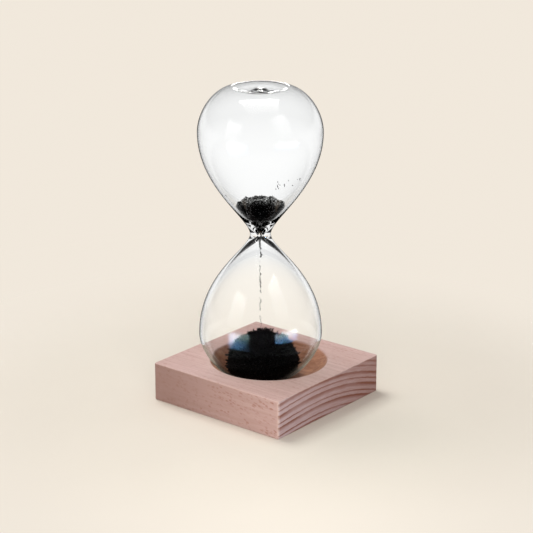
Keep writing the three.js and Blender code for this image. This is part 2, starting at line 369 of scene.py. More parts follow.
def skin(name, shells):
    """A mesh of shells, each a run of rings of points. Rings that climb on the outside face out."""
    bm = bmesh.new()
    for number, rings in enumerate(shells):
        previous = None
        for ring in rings:
            corners = [bm.verts.new(point) for point in ring]
            if previous:
                for face in bridge(bm, previous, corners):
                    face.smooth = True
                    face.material_index = number
            previous = corners
    return plain_mesh(name, bm)


def patch_mesh(name, patches):
    """Open grids of points, as a seedbed for scattered grains."""
    bm = bmesh.new()
    for rows in patches:
        grid = [[bm.verts.new(point) for point in row] for row in rows]
        for lower, upper in zip(grid, grid[1:]):
            for side in range(len(lower) - 1):
                bm.faces.new((lower[side], lower[side + 1], upper[side + 1], upper[side]))
    return plain_mesh(name, bm)


def store(mesh, name, values):
    """Keeps one value for each corner of a mesh, for its material to read."""
    layer = mesh.attributes.new(name, "FLOAT", "POINT")
    layer.data.foreach_set("value", values)


def finish_piece(name, mesh, body, slot, *nodes):
    """Links a mesh as a piece that rides on a body and stands for CAD nodes."""
    piece = bpy.data.objects.new(name, mesh)
    bpy.context.scene.collection.objects.link(piece)
    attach(piece, body)
    if nodes:
        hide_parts(*nodes)
    return piece


# Node trees


class Nodes:
    """Adds nodes to a tree, with each input given as a value or as the socket that feeds it."""

    def __init__(self, tree):
        self.tree = tree

    def feed(self, node, inputs):
        for key, value in inputs.items():
            socket = node.inputs[key] if isinstance(key, int) else live(node.inputs, key)
            if isinstance(value, bpy.types.NodeSocket):
                self.tree.links.new(value, socket)
            else:
                socket.default_value = value

    def add(self, kind, inputs=None, **choices):
        node = self.tree.nodes.new(kind)
        for name, value in choices.items():
            setattr(node, name, value)
        self.feed(node, inputs or {})
        return node

    def out(self, kind, output, inputs=None, **choices):
        return live(self.add(kind, inputs, **choices).outputs, output)

    def maths(self, operation, first, second=0.0, clamp=False):
        inputs = {0: first, 1: second}
        return self.out("ShaderNodeMath", "Value", inputs, operation=operation, use_clamp=clamp)

    def plus(self, first, second):
        return self.maths("ADD", first, second)

    def times(self, first, second):
        return self.maths("MULTIPLY", first, second)

    def vector(self, operation, first, second):
        return self.out("ShaderNodeVectorMath", "Vector", {0: first, 1: second}, operation=operation)

    def scaled(self, vector, factor):
        return self.out("ShaderNodeVectorMath", "Vector", {0: vector, "Scale": factor}, operation="SCALE")

    def part(self, vector, axis):
        return self.out("ShaderNodeSeparateXYZ", axis, {"Vector": vector})

    def mix(self, factor, first, second):
        inputs = {"Factor": factor, "A": opaque(first), "B": opaque(second)}
        return self.out("ShaderNodeMix", "Result", inputs, data_type="RGBA")

    def ease(self, value, low, high, to_low=0.0, to_high=1.0):
        inputs = {"Value": value, "From Min": low, "From Max": high, "To Min": to_low, "To Max": to_high}
        return self.out("ShaderNodeMapRange", "Result", inputs, interpolation_type="SMOOTHSTEP")

    def cloud(self, place, scale, detail, output="Fac"):
        return self.out("ShaderNodeTexNoise", output, {"Vector": place, "Scale": scale, "Detail": detail})

    def either(self, factor, first, second):
        return self.out("ShaderNodeMixShader", "Shader", {0: factor, 1: first, 2: second})

    def joined(self, *geometries):
        node = self.add("GeometryNodeJoinGeometry")
        for geometry in geometries:
            self.tree.links.new(geometry, node.inputs["Geometry"])
        return node.outputs["Geometry"]


def live(sockets, name):
    """The socket of this name that the node's present mode uses."""
    for socket in sockets:
        if socket.name == name and socket.enabled:
            return socket
    raise KeyError(name)


def opaque(value):
    if isinstance(value, bpy.types.NodeSocket):
        return value
    return (*value, 1.0)


def new_group(name, kind, inputs, outputs):
    """An empty node group with named sockets, and its Nodes, input sockets and output node."""
    group = bpy.data.node_groups.new(name, kind)
    for in_out, sockets in (("INPUT", inputs), ("OUTPUT", outputs)):
        for label, socket_kind in sockets.items():
            group.interface.new_socket(label, in_out=in_out, socket_type="NodeSocket" + socket_kind)
    nodes = Nodes(group)
    return nodes, nodes.add("NodeGroupInput").outputs, nodes.add("NodeGroupOutput")


def new_material(name):
    """A material with one Principled shader, and its Nodes and that shader."""
    material = bpy.data.materials.new(name)
    material.use_nodes = True
    tree = material.node_tree
    return material, Nodes(tree), tree.nodes["Principled BSDF"]


def set_surface(nodes, shader):
    nodes.feed(nodes.tree.nodes["Material Output"], {"Surface": shader})


def millimetres(nodes):
    coordinates = nodes.out("ShaderNodeTexCoord", "Object")
    return nodes.vector("MULTIPLY", coordinates, (1000, 1000, 1000))


def stored(nodes, name):
    """A value that the mesh stores at each of its corners."""
    return nodes.out("ShaderNodeAttribute", "Fac", attribute_name=name)


def speckle_group():
    """Uneven mottling that the wood, felt, plating, iron and floor share, at their own scales."""
    name = "Speckle"
    if name in bpy.data.node_groups:
        return bpy.data.node_groups[name]
    sockets = {"Stretch": "Vector", "Softness": "Float", "Detail": "Float"}
    nodes, given, result = new_group(name, "ShaderNodeTree", sockets, {"Mask": "Float"})
    place = nodes.vector("MULTIPLY", millimetres(nodes), given["Stretch"])
    low = nodes.maths("SUBTRACT", 0.5, given["Softness"])
    high = nodes.plus(0.5, given["Softness"])
    mask = nodes.ease(nodes.cloud(place, 1.0, given["Detail"]), low, high)
    nodes.feed(result, {"Mask": mask})
    return nodes.tree


def speckle(nodes, stretch, softness=0.2, detail=3.0):
    """A mask of the shared mottling; stretch is the number of blots in a millimetre along X, Y and Z."""
    inputs = {"Stretch": stretch, "Softness": softness, "Detail": detail}
    return nodes.out("ShaderNodeGroup", "Mask", inputs, node_tree=speckle_group())


def roughen(nodes, shader, height, distance, strength=1.0):
    inputs = {"Height": height, "Distance": distance, "Strength": strength}
    nodes.feed(shader, {"Normal": nodes.out("ShaderNodeBump", "Normal", inputs)})


# Beech


def ring_places(nodes, wood):
    """Distance from the pith and place across it, in millimetres; the pith lies along X under the block."""
    place = millimetres(nodes)
    across = nodes.maths("SUBTRACT", nodes.part(place, "Y"), wood.pith_side / MM)
    above = nodes.maths("SUBTRACT", nodes.part(place, "Z"), wood.pith_depth / MM)
    squares = nodes.plus(nodes.maths("POWER", across, 2.0), nodes.maths("POWER", above, 2.0))
    wander = nodes.times(speckle(nodes, (0.004, 0.02, 0.02), 0.5, 0.0), 1.6)
    ragged = nodes.times(speckle(nodes, (0.3, 0.4, 0.8), 0.5, 2.0), 0.4)
    radius = nodes.plus(nodes.plus(nodes.maths("SQRT", squares), wander), ragged)
    return radius, across


def ring_mask(nodes, wood, radius):
    """Late wood of the growth rings: each year darkens slowly and ends sharply, and no two are alike."""
    uneven = nodes.times(nodes.maths("SINE", nodes.times(radius, 0.93)), 0.5)
    years = nodes.maths("DIVIDE", nodes.plus(radius, uneven), wood.ring_spacing / MM)
    year = nodes.maths("FRACT", years)
    line = nodes.times(nodes.ease(year, 0.42, 0.84), nodes.ease(year, 0.9, 1.0, 1.0, 0.0))
    weight = nodes.ease(speckle(nodes, (0.01, 0.04, 0.14), 0.3, 2.0), 0.0, 1.0, 0.55, 1.0)
    return nodes.times(line, weight)


def ring_streaks(nodes, radius, across):
    """Fine streaks on the end grain that run along the rings."""
    inputs = {0: nodes.times(across, 0.13), 1: nodes.times(radius, 1.7)}
    place = nodes.out("ShaderNodeCombineXYZ", "Vector", inputs)
    return nodes.ease(nodes.cloud(place, 1.0, 3.0), 0.34, 0.66)


def fleck_mask(nodes):
    """Short, ragged ray flecks: a few of the cells of a bent cell pattern, thick in some places."""
    inputs = {"Vector": millimetres(nodes), "Rotation": (0.0, 0.2, 0.0), "Scale": (2.4, 1.1, 1.1)}
    place = nodes.out("ShaderNodeMapping", "Vector", inputs, vector_type="TEXTURE")
    bend = nodes.vector("MULTIPLY", nodes.cloud(place, 1.2, 2.0, "Color"), (1.2, 1.2, 1.2))
    inputs = {"Vector": nodes.vector("ADD", place, bend), "Scale": 1.0}
    cells = nodes.add("ShaderNodeTexVoronoi", inputs).outputs
    chosen = nodes.out("ShaderNodeSeparateColor", "Red", {"Color": cells["Color"]})
    near = nodes.ease(cells["Distance"], 0.2, 0.6, 1.0, 0.0)
    flecks = nodes.times(near, nodes.ease(chosen, 0.4, 0.7))
    thick = nodes.ease(speckle(nodes, (0.04, 0.12, 0.12), 0.2, 2.0), 0.0, 1.0, 0.4, 1.0)
    return nodes.times(flecks, thick)


def long_grain(nodes, wood, rings, streaks, is_side):
    """The top and the two long faces: streaks and flecks, and painted shade towards one end of the long
    faces.
    """
    half = BLOCK_HALF / MM
    tint = nodes.mix(nodes.times(streaks, 0.75), wood.pale, wood.warm)
    tint = nodes.mix(nodes.times(rings, 0.25), tint, wood.warm)
    flecks = nodes.times(fleck_mask(nodes), nodes.ease(is_side, 0.0, 1.0, 0.35, 0.75))
    tint = nodes.mix(flecks, tint, wood.fleck)
    # Painted shade: the two long faces darken towards the -X end, as if less light reached that end.
    along = nodes.part(millimetres(nodes), "X")
    falloff_shade = nodes.times(nodes.ease(along, -half, half, 0.75, 0.0), is_side)
    tint = nodes.mix(falloff_shade, tint, wood.falloff_shade)
    clouds = speckle(nodes, (0.03, 0.06, 0.06), 0.3, 2.0)
    return nodes.mix(nodes.times(clouds, 0.3), tint, wood.warm)


def end_grain(nodes, wood, rings, radius, across):
    """The two faces that cut across the grain: dots and rings, redder towards one side."""
    half = BLOCK_HALF / MM
    dots = speckle(nodes, (2.5, 2.5, 2.5), 0.2, 2.0)
    tint = nodes.mix(nodes.times(dots, 0.3), wood.end_pale, wood.end_dark)
    along_rings = nodes.times(ring_streaks(nodes, radius, across), 0.25)
    redder = nodes.ease(across, -half, 1.5 * half, 0.0, 0.6)
    tint = nodes.mix(nodes.maths("ADD", along_rings, redder, clamp=True), tint, wood.end_dark)
    return nodes.mix(nodes.times(rings, 0.95), tint, wood.end_ring)


def mirrored_wood(nodes, wood):
    """The block mirrored in glass: pale on its far half, dark on its near half and after many bounces."""
    near_corner = (0.63, -0.77, 0.0)
    inputs = {0: millimetres(nodes), 1: near_corner}
    nearness = nodes.out("ShaderNodeVectorMath", "Value", inputs, operation="DOT_PRODUCT")
    far_round = nodes.maths("GREATER_THAN", nodes.out("ShaderNodeLightPath", "Ray Depth"), 3.5)
    unlit = nodes.maths("MAXIMUM", nodes.ease(nearness, 6.0, 18.0), far_round)
    return nodes.mix(unlit, wood.mirrored, BLACK)


def beech_material():
    wood = settings("beech")
    material, nodes, shader = new_material("turned_beech")
    radius, across = ring_places(nodes, wood)
    rings = ring_mask(nodes, wood, radius)
    streaks = speckle(nodes, (0.03, 0.6, 0.6), 0.3, 4.0)
    pores = speckle(nodes, (0.6, 7.0, 7.0), 0.25, 2.0)
    facing = nodes.out("ShaderNodeTexCoord", "Normal")
    is_end = nodes.ease(nodes.maths("ABSOLUTE", nodes.part(facing, "X")), 0.35, 0.85)
    is_side = nodes.ease(nodes.maths("ABSOLUTE", nodes.part(facing, "Y")), 0.35, 0.85)

    sawn = long_grain(nodes, wood, rings, streaks, is_side)
    tint = nodes.mix(is_end, sawn, end_grain(nodes, wood, rings, radius, across))
    # Painted shade: from just below the rim the dish is painted darker and redder, streaked along the
    # grain, for the shade and warm bounced light inside it.
    painted_dish_shade = nodes.ease(stored(nodes, "depth"), 0.0, 0.15, 0.0, 0.95)
    tint = nodes.mix(painted_dish_shade, tint, nodes.mix(streaks, wood.dish, wood.dish_streak))
    # Painted highlight: the eased edges are painted paler, more so on the pale streaks, as if they caught
    # the light.
    painted_highlight = nodes.times(stored(nodes, "wear"), nodes.ease(streaks, 0.0, 1.0, 0.1, 0.4))
    tint = nodes.mix(painted_highlight, tint, wood.painted_highlight)
    # Painted reflection: where the glass mirrors the block, the wood takes the set mirrored colour, dimmed
    # to black on its near half and after many bounces.
    in_mirror = nodes.maths("MINIMUM", nodes.out("ShaderNodeLightPath", "Glossy Depth"), 0.95)
    tint = nodes.mix(in_mirror, tint, mirrored_wood(nodes, wood))
    nodes.feed(shader, {"Base Color": tint, "Roughness": nodes.ease(pores, 0.0, 1.0, 0.5, 0.68)})
    roughen(nodes, shader, pores, 0.04 * MM, 0.5)
    return material


def square_ring(half, corner, height, side_steps=40, corner_steps=8):
    """Points round a square with rounded corners."""
    inner = half - corner
    pivot = Vector((inner, inner, 0))
    outline = [Vector((half, -inner + 2 * inner * step / side_steps, 0)) for step in range(side_steps)]
    outline += [around(pivot, corner, turn, 0) for turn in quarter_turns(corner_steps)[:-1]]
    ring = []
    for quarter in range(4):
        c, s = math.cos(quarter * math.pi / 2), math.sin(quarter * math.pi / 2)
        ring += [Vector((p.x * c - p.y * s, p.x * s + p.y * c, height)) for p in outline]
    return ring


def round_ring(guide, centre, radius, height):
    """A circle whose points lie in the directions of a guide ring's points."""
    turns = [math.atan2(point.y - centre.y, point.x - centre.x) for point in guide]
    return [around(centre, radius, turn, height) for turn in turns]


def dish_profile(wood, glass):
    """The dish from its rim's outer edge down to the axis, as (radius, height) pairs."""
    wall = []
    for radius, distance in outer_outline(glass):
        height = DISH_FLOOR + glass.half_height - distance
        if distance >= glass.belly_height and height < BLOCK_TOP and radius >= glass.foot_radius:
            wall.append((radius + wood.dish_margin, height))
    lip = (wall[0][0] + wood.rim_round, BLOCK_TOP)
    bend = (wall[0][0] + 0.35 * wood.rim_round, BLOCK_TOP)
    rim = bezier(lip, bend, bend, wall[0], 5)
    return rim + wall[1:] + [(0.5 * glass.foot_radius, DISH_FLOOR), (0, DISH_FLOOR)]


def block_rings(wood, glass):
    """Rings from the roof of the pocket out over the underside, up the sides and into the dish."""
    ease = wood.edge_round
    hold = 0.15 * MM  # rings this close to an edge keep it crisp
    guide = square_ring(BLOCK_HALF, wood.corner_radius, 0)

    def circle(radius, height):
        return round_ring(guide, DISH, radius, height)

    def square(inset, height):
        return square_ring(BLOCK_HALF - inset, max(wood.corner_radius - inset, 0.05 * MM), height)

    pocket = MAGNET_RADIUS + FIT_GAP
    seat = FELT_RADIUS + FIT_GAP
    shoulder = MAGNET_LOW.z
    roof = MAGNET_HIGH.z + FIT_GAP
    rings = [[Vector((DISH.x, DISH.y, roof))]]
    for radius, height in (
        (pocket - hold, roof),
        (pocket, roof),
        (pocket, roof - hold),
        (pocket, shoulder + hold),
        (pocket, shoulder),
        (pocket + hold, shoulder),
        (seat - hold, shoulder),
        (seat, shoulder),
        (seat, shoulder - hold),
        (seat, hold),
        (seat, 0),
        (seat + hold, 0),
    ):
        rings.append(circle(radius, height))
    under = square(ease + hold, 0)
    rings += [between(rings[-1], under, 0.5), under]
    corner = [(ease * (1 - math.sin(turn)), ease * (1 - math.cos(turn))) for turn in quarter_turns(4)]
    rings += [square(inset, height) for inset, height in corner]
    rings.append(square(0, ease + hold))
    rings += [square(0, BLOCK_TOP * level / 6) for level in range(1, 6)]
    rings.append(square(0, BLOCK_TOP - ease - hold))
    rings += [square(inset, BLOCK_TOP - height) for inset, height in reversed(corner)]
    rings.append(square(ease + hold, BLOCK_TOP))
    dish = dish_profile(wood, glass)
    lip = circle(dish[0][0] + hold, BLOCK_TOP)
    rings += [between(rings[-1], lip, 0.5), lip]
    rings += [circle(radius, height) for radius, height in dish[:-1]]
    rings.append([Vector((DISH.x, DISH.y, DISH_FLOOR))])
    return rings


def edge_highlight_share(point, wood):
    """How far round an eased edge of the block a point lies, 0 on the flats to 1 on the edge; the material
    paints the edge highlight by it.
    """
    corner = BLOCK_HALF - wood.corner_radius
    across = max(abs(point.x), abs(point.y))
    upright = [max(abs(part) - corner, 0) / wood.corner_radius for part in (point.x, point.y)]
    level = min(point.z, BLOCK_TOP - point.z)
    side = max(1 - (BLOCK_HALF - across) / wood.edge_round, 0)
    face = max(1 - level / wood.edge_round, 0)
    return max(2 * upright[0] * upright[1], 2 * side * face)


def dish_depth(point):
    """How deep in the dish a point lies, 0 at the top of the block to 1 on the dish's floor; the material
    paints the dish's shade by it.
    """
    if point.z < DISH_FLOOR - 0.01 * MM or from_axis(point, DISH) > 0.9 * BLOCK_HALF:
        return 0.0
    return (BLOCK_TOP - point.z) / (BLOCK_TOP - DISH_FLOOR)


class HOURGLASS_OT_beech_block(bpy.types.Operator):
    """Makes the square beech block with its turned dish and the pocket for the magnet"""

    bl_idname = "hourglass.beech_block"
    bl_label = "Beech Block"

    def execute(self, context):
        wood = settings("beech")
        mesh = skin("beech_block", [block_rings(wood, settings("glass"))])
        store(mesh, "wear", [edge_highlight_share(corner.co, wood) for corner in mesh.vertices])
        store(mesh, "depth", [dish_depth(corner.co) for corner in mesh.vertices])
        mesh.materials.append(beech_material())
        finish_piece("beech_block", mesh, "base", "beech", "wooden_base")
        return {"FINISHED"}


# Magnet and felt


def nickel_material():
    material, nodes, shader = new_material("plated_nickel")
    scuffs = speckle(nodes, (0.3, 6.0, 0.3), 0.3, 4.0)
    tint = nodes.mix(scuffs, (0.44, 0.43, 0.41), (0.36, 0.36, 0.35))
    rough = nodes.ease(scuffs, 0.0, 1.0, 0.22, 0.4)
    nodes.feed(shader, {"Base Color": tint, "Roughness": rough, "Metallic": 1.0})
    return material


def felt_material():
    material, nodes, shader = new_material("grey_felt")
    fibres = speckle(nodes, (2.2, 2.2, 2.2), 0.3, 6.0)
    tint = nodes.mix(fibres, (0.085, 0.078, 0.07), (0.05, 0.046, 0.042))
    nodes.feed(shader, {"Base Color": tint, "Roughness": 0.95, "Sheen Weight": 0.4})
    roughen(nodes, shader, fibres, 0.25 * MM)
    return material


def disc_mesh(name, radius, bottom, top, ease):
    """A disc over the dish's middle, with rounded edges."""
    turns = quarter_turns(4)
    lower = [(radius - ease * (1 - math.sin(a)), bottom + ease * (1 - math.cos(a))) for a in turns]
    upper = [(radius - ease * (1 - math.cos(a)), top - ease * (1 - math.sin(a))) for a in turns]
    inner = 0.97 * (radius - ease)
    profile = [(0, bottom), (inner, bottom)] + lower + upper + [(inner, top), (0, top)]
    return skin(name, [turned(profile, DISH, 96)])


class HOURGLASS_OT_magnet(bpy.types.Operator):
    """Makes the plated disc magnet and the felt disc that closes its pocket"""

    bl_idname = "hourglass.magnet"
    bl_label = "Magnet and Felt"

    def execute(self, context):
        mesh = disc_mesh("disc_magnet", MAGNET_RADIUS, MAGNET_LOW.z, MAGNET_HIGH.z, 0.4 * MM)
        mesh.materials.append(nickel_material())
        finish_piece("disc_magnet", mesh, "base", "nickel_plate", "base_magnet")
        mesh = disc_mesh("felt_disc", FELT_RADIUS, FELT_LOW.z, FELT_HIGH.z, 0.5 * MM)
        mesh.materials.append(felt_material())
        finish_piece("felt_disc", mesh, "base", "felt", "magnet_cover")
        return {"FINISHED"}


# Glass


def mirror_collection():
    """What the windows shine on: the glass is added to it when it is made."""
    name = "mirroring_pieces"
    if name in bpy.data.collections:
        return bpy.data.collections[name]
    return bpy.data.collections.new(name)


def glass_material(name, edge_shade):
    """Clear glass that lets lamps through. Seen edge on it loses some light, but not at its ends."""
    material, nodes, shader = new_material(name)
    clear, on_edge, to_lamps = (0.995, 0.999, 0.997), (0.02, 0.03, 0.03), (0.94, 0.96, 0.95)
    constants = {
        "Transmission Weight": 1.0,
        "Roughness": 0.0,
        "IOR": 1.47,
        "Specular Tint": (0.08, 0.08, 0.08, 1.0),
        "Base Color": opaque(clear),
    }
    nodes.feed(shader, constants)
    if edge_shade:
        facing = nodes.out("ShaderNodeLayerWeight", "Facing", {"Blend": 0.5})
        edge = nodes.ease(facing, 0.7, 0.9, 0.0, edge_shade)
        height = nodes.part(nodes.out("ShaderNodeTexCoord", "Object"), "Z")
        low = nodes.ease(height, BLOCK_TOP + 5 * MM, BLOCK_TOP + 11 * MM)
        high = nodes.ease(height, UPPER_HIGH.z - 22 * MM, UPPER_HIGH.z - 5 * MM, 1.0, 0.1)
        edge = nodes.times(edge, nodes.times(low, high))
        nodes.feed(shader, {"Base Color": nodes.mix(edge, clear, on_edge)})
    lamps = nodes.out("ShaderNodeLightPath", "Is Shadow Ray")
    open_way = nodes.out("ShaderNodeBsdfTransparent", "BSDF", {"Color": opaque(to_lamps)})
    set_surface(nodes, nodes.either(lamps, shader.outputs["BSDF"], open_way))
    return material


def sealed_end(glass, outline):
    """The upper bulb's outline with its dimple closed by the bead."""
    kept = [point for point in outline if point[0] > glass.pip_radius]
    edge = kept[-1]
    top = glass.half_height - glass.pip_drop
    bead = bezier(edge, (0.86 * edge[0], edge[1]), (0.75 * edge[0], top), (0, top), 12)
    return kept + bead[1:]


def vessel_mesh(glass):
    """The whole glass, outside and inside, as two closed shells turned about the neck's axis."""
    below = [(radius, NECK.z - distance) for radius, distance in reversed(outer_outline(glass))]
    closed = sealed_end(glass, outer_outline(glass, upper=True))
    above = [(radius, NECK.z + distance) for radius, distance in closed]
    thin_end = inner_outline(glass, upper=True)
    roof = [(radius, NECK.z + distance) for radius, distance in reversed(thin_end)]
    floor = [(radius, NECK.z - distance) for radius, distance in inner_outline(glass)]
    outer = turned(below + above[1:], NECK, glass.sides)
    inner = turned(roof + floor[1:], NECK, glass.sides)
    melted = NECK.z + glass.half_height - glass.punt_depth - FIT_GAP
    melted_radius = 1.7 * glass.pip_radius
    lumpy = 420  # lumps to the metre
    for ring in outer:
        for point in ring:
            out = from_axis(point, NECK)
            if point.z > melted and out < melted_radius:
                fade = 1 - out / melted_radius
                point.z += glass.pip_lumps * fade * noise.noise(point * lumpy)
    return skin("glass_vessel", [outer, inner])


class HOURGLASS_OT_glass(bpy.types.Operator):
    """Makes the blown glass: both bulbs, the thick neck and the sealing bead as one vessel"""

    bl_idname = "hourglass.glass"
    bl_label = "Glass"

    def execute(self, context):
        glass = settings("glass")
        mesh = vessel_mesh(glass)
        mesh.materials.append(glass_material("blown_glass", glass.edge_shade))
        mesh.materials.append(glass_material("blown_glass_inside", 0.0))
        nodes = ("upper_bulb", "lower_bulb", "neck_collar", "seal_pip")
        vessel = finish_piece("glass_vessel", mesh, "glass", "clear_glass", *nodes)
        mirror_collection().objects.link(vessel)
        return {"FINISHED"}


# Filings


def iron_material():
    """Black iron dust with painted glints: each grain's colour is lightened as much as the mesh stores for
    it.
    """
    name = "black_iron"
    if name in bpy.data.materials:
        return bpy.data.materials[name]
    material, nodes, shader = new_material(name)
    dust = speckle(nodes, (1.6, 1.6, 1.6), 0.2, 3.0)
    dull = nodes.mix(dust, (0.0006, 0.0006, 0.0007), (0.0025, 0.0025, 0.0027))
    upward = nodes.part(nodes.out("ShaderNodeTexCoord", "Normal"), "Z")
    # Painted glint: the chosen grains are painted near white on their facets that face up.
    glint = nodes.maths("POWER", stored(nodes, "glint"), 2.5)
    glint = nodes.times(glint, nodes.ease(upward, -0.6, 0.5))
    tint = nodes.mix(glint, dull, (0.95, 0.95, 0.96))
    rough = nodes.ease(dust, 0.0, 1.0, 0.7, 0.5)
    nodes.feed(shader, {"Base Color": tint, "Roughness": rough, "Specular IOR Level": 0.02})
    return material


def grow(mesh, tree, values):
    """Runs a geometry tree on a mesh and returns the result as a plain mesh."""
    seedbed = bpy.data.objects.new(mesh.name, mesh)
    bpy.context.scene.collection.objects.link(seedbed)
    modifier = seedbed.modifiers.new(tree.name, "NODES")
    modifier.node_group = tree
    for item in tree.interface.items_tree:
        if item.in_out == "INPUT" and item.name in values:
            modifier[item.identifier] = values[item.name]
    graph = bpy.context.evaluated_depsgraph_get()
    grown = bpy.data.meshes.new_from_object(seedbed.evaluated_get(graph))
    seedbed.modifiers.remove(modifier)
    bpy.data.objects.remove(seedbed)
    for slot in reversed(range(len(grown.materials))):
        if grown.materials[slot] is None:
            grown.materials.pop(index=slot)
    return grown


def grow_iron(mesh, tree, values):
    """Grows filings on a mesh, with the material and the seed that they share."""
    shared = {"Seed": settings("filings").seed, "Material": iron_material()}
    return grow(mesh, tree, {**shared, **values})


def geometry_group(name, inputs):
    """An empty geometry tree that takes a mesh, its own inputs, a seed and a material."""
    sockets = {"Geometry": "Geometry", **inputs, "Seed": "Int", "Material": "Material"}
    return new_group(name, "GeometryNodeTree", sockets, {"Geometry": "Geometry"})


def random_vector(nodes, low, high, seed):
    inputs = {"Min": low, "Max": high, "Seed": seed}
    return nodes.out("FunctionNodeRandomValue", "Value", inputs, data_type="FLOAT_VECTOR")


def random_turn(nodes, lean, seed):
    """A rotation that leans up to an angle either way and spins all the way round."""
    draw = random_vector(nodes, (-1.0, -1.0, 0.0), (1.0, 1.0, 1.0), nodes.plus(seed, 1.0))
    span = nodes.out("ShaderNodeCombineXYZ", "Vector", {0: lean, 1: lean, 2: math.tau})
    return nodes.out("FunctionNodeEulerToRotation", "Rotation", {0: nodes.vector("MULTIPLY", draw, span)})


def more_than(nodes, value, limit):
    return nodes.out("FunctionNodeCompare", "Result", {"A": value, "B": limit}, operation="GREATER_THAN")


def higher_than(nodes, level):
    """Whether a point lies above a level."""
    place = nodes.out("GeometryNodeInputPosition", "Position")
    return more_than(nodes, nodes.part(place, "Z"), level)


def shard(nodes, size):
    """One loose grain: a flattened, lengthened ball of few facets."""
    ball = nodes.out("GeometryNodeMeshIcoSphere", "Mesh", {"Radius": 0.5, "Subdivisions": 1})
    scale = nodes.scaled((1.0, 0.65, 0.5), size)
    return nodes.out("GeometryNodeTransform", "Geometry", {"Geometry": ball, "Scale": scale})


def spike_cluster(nodes, radius, height):
    """One spike: a stout cone with a thin needle leaning off it, both sunk a little in the heap."""
    blunt, sunk = 0.45, -0.4 * MM
    cones = []
    for width, tall, lean, spin, sides in ((1.0, 1.0, 0.0, 0.0, 6), (0.5, 0.9, 0.4, 0.7, 4)):
        inputs = {
            "Vertices": sides,
            "Side Segments": 2,
            "Radius Top": nodes.times(radius, blunt * width),
            "Radius Bottom": nodes.times(radius, width),
            "Depth": nodes.times(height, tall),
        }
        cone = nodes.out("GeometryNodeMeshCone", "Mesh", inputs)
        turn = {"Geometry": cone, "Rotation": (lean, 0.0, spin), "Translation": (0.0, 0.0, sunk)}
        cones.append(nodes.out("GeometryNodeTransform", "Geometry", turn))
    return nodes.joined(*cones)


def seal(nodes, result, material, *geometries):
    """Joins and realizes what a tree has made, and gives it its material."""
    joined = nodes.joined(*geometries)
    solid = nodes.out("GeometryNodeRealizeInstances", "Geometry", {"Geometry": joined})
    done = nodes.out("GeometryNodeSetMaterial", "Geometry", {"Geometry": solid, "Material": material})
    nodes.feed(result, {"Geometry": done})


def spike_tree():
    """Spikes that stand square on a heap, above a lowest level, with a few tall ones among them."""
    sizes = dict.fromkeys(("Spacing", "Spike Radius", "Spike Length", "Lean", "Lowest"), "Float")
    nodes, given, result = geometry_group("Magnet Spikes", sizes)
    inputs = {
        "Mesh": given["Geometry"],
        "Selection": higher_than(nodes, given["Lowest"]),
        "Distance Min": given["Spacing"],
        "Density Max": 6e6,
        "Seed": given["Seed"],
    }
    spots = nodes.add("GeometryNodeDistributePointsOnFaces", inputs, distribute_method="POISSON").outputs
    turn = {0: spots["Rotation"], 1: random_turn(nodes, given["Lean"], given["Seed"])}
    draw = random_vector(nodes, (0.75, 0.75, 0.0), (1.2, 1.2, 1.0), given["Seed"])
    few_tall = nodes.ease(nodes.maths("POWER", nodes.part(draw, "Z"), 3.0), 0.0, 1.0, 0.35, 1.1)
    scale = {0: nodes.part(draw, "X"), 1: nodes.part(draw, "Y"), 2: few_tall}
    inputs = {
        "Points": spots["Points"],
        "Instance": spike_cluster(nodes, given["Spike Radius"], given["Spike Length"]),
        "Rotation": nodes.out("FunctionNodeRotateRotation", "Rotation", turn, rotation_space="LOCAL"),
        "Scale": nodes.out("ShaderNodeCombineXYZ", "Vector", scale),
    }
    spikes = nodes.out("GeometryNodeInstanceOnPoints", "Instances", inputs)
    seal(nodes, result, given["Material"], given["Geometry"], spikes)
    return nodes.tree


def grain_tree():
    """Loose grains lying any way round on a surface, as bright as it stores, with or without it."""
    name = "Loose Grains"
    if name in bpy.data.node_groups:
        return bpy.data.node_groups[name]
    sizes = dict.fromkeys(("Density", "Grain", "Lowest"), "Float")
    nodes, given, result = geometry_group(name, {**sizes, "Keep Surface": "Bool"})
    inputs = {
        "Mesh": given["Geometry"],
        "Selection": higher_than(nodes, given["Lowest"]),
        "Density": given["Density"],
        "Seed": given["Seed"],
    }
    spots = nodes.add("GeometryNodeDistributePointsOnFaces", inputs, distribute_method="RANDOM").outputs
    inputs = {
        "Points": spots["Points"],
        "Instance": shard(nodes, given["Grain"]),
        "Rotation": random_turn(nodes, 3.0, given["Seed"]),
        "Scale": random_vector(nodes, (0.5, 0.6, 0.6), (1.3, 1.1, 1.1), given["Seed"]),
    }
    grains = nodes.out("GeometryNodeInstanceOnPoints", "Instances", inputs)
    inputs = {"Name": "shine"}
    brightest = nodes.out("GeometryNodeInputNamedAttribute", "Attribute", inputs, data_type="FLOAT")
    draw = {"Min": 0.0, "Max": brightest, "Seed": nodes.plus(given["Seed"], 3.0)}
    glint = nodes.out("FunctionNodeRandomValue", "Value", draw, data_type="FLOAT")
    inputs = {"Geometry": grains, "Name": "glint", "Value": glint}
    grains = nodes.out("GeometryNodeStoreNamedAttribute", "Geometry", inputs, domain="INSTANCE")
    inputs = {"Switch": given["Keep Surface"], "True": given["Geometry"]}
    surface = nodes.out("GeometryNodeSwitch", "Output", inputs, input_type="GEOMETRY")
    seal(nodes, result, given["Material"], surface, grains)
    return nodes.tree


